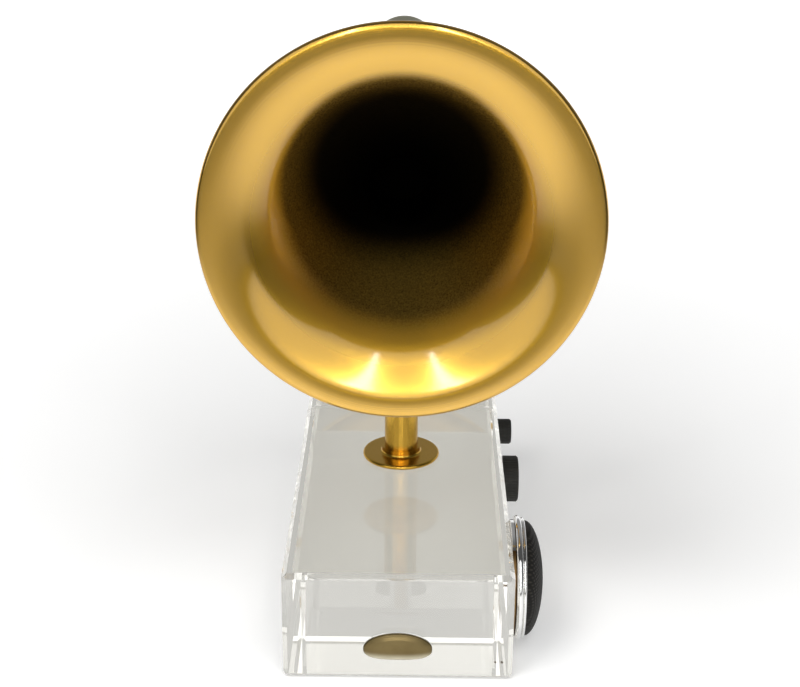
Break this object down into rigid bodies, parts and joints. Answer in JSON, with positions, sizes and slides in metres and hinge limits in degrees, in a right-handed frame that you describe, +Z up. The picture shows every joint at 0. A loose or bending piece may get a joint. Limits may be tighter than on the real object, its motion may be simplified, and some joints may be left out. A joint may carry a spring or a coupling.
{
  "type": "horn loudspeaker in gramophone form",
  "caption": "Brass horn on a swivelling post above a solid clear block, with a domed driver behind the bell and turning control knobs on the block's right side.",
  "frame": {"origin": "centre of the block's underside, on the surface it stands on", "axes": "+Z up, the bell's mouth faces -Y, the control knobs are on the +X side"},
  "size_m": [0.1694, 0.2129, 0.2802],
  "materials": {
    "clear_block": "polished",
    "bell_brass": "satin, sandblasted",
    "satin_brass": "satin",
    "dark_brass": "satin",
    "aged_brass": "dull, greyed",
    "chrome": "polished",
    "black_grip": "fine knurl",
    "black_plastic": "matt",
    "steel": "turned",
    "grey_alloy": "matt",
    "magnet": "ground ferrite",
    "copper_wire": "enamelled",
    "diaphragm_polymer": "thin film",
    "white_polymer": "matt",
    "black_rubber": "matt"
  },
  "bodies": {
    "base": {"block": "clear_block", "front_inlay": "aged_brass", "flange": "satin_brass", "post": "satin_brass", "swivel_washer": "white_polymer", "bush_big": "dark_brass", "bush_mid": "dark_brass", "bush_small": "dark_brass"},
    "head": {"head": "satin_brass", "horn": "bell_brass", "throat": "bell_brass", "gasket": "black_rubber", "phase_plate": "grey_alloy", "spacer_ring": "grey_alloy", "diaphragm": "diaphragm_polymer", "voice_coil": "copper_wire", "front_plate": "steel", "magnet": "magnet", "back_plate": "steel", "driver_can": "aged_brass", "dome_cap": "aged_brass"},
    "control_big": {"spindle_big": "steel", "ring_big": "chrome", "knob_big": "black_grip"},
    "control_mid": {"spindle_mid": "steel", "knob_mid": "black_plastic"},
    "control_small": {"spindle_small": "steel", "knob_small": "black_plastic"}
  },
  "joints": [
    {"name": "horn_swivel", "type": "hinge", "parent": "base", "child": "head", "pos_m": [0, 0.015, 0.162], "axis": [0, 0, 1], "range_deg": [-90, 90]},
    {"name": "big_turn", "type": "hinge", "parent": "base", "child": "control_big", "pos_m": [0.05, -0.066, 0.0288], "axis": [1, 0, 0], "range_deg": [-150, 150]},
    {"name": "mid_turn", "type": "hinge", "parent": "base", "child": "control_mid", "pos_m": [0.05, 0.034, 0.0288], "axis": [1, 0, 0], "range_deg": [-150, 150]},
    {"name": "small_turn", "type": "hinge", "parent": "base", "child": "control_small", "pos_m": [0.05, 0.0915, 0.0288], "axis": [1, 0, 0], "range_deg": [-150, 150]}
  ]
}
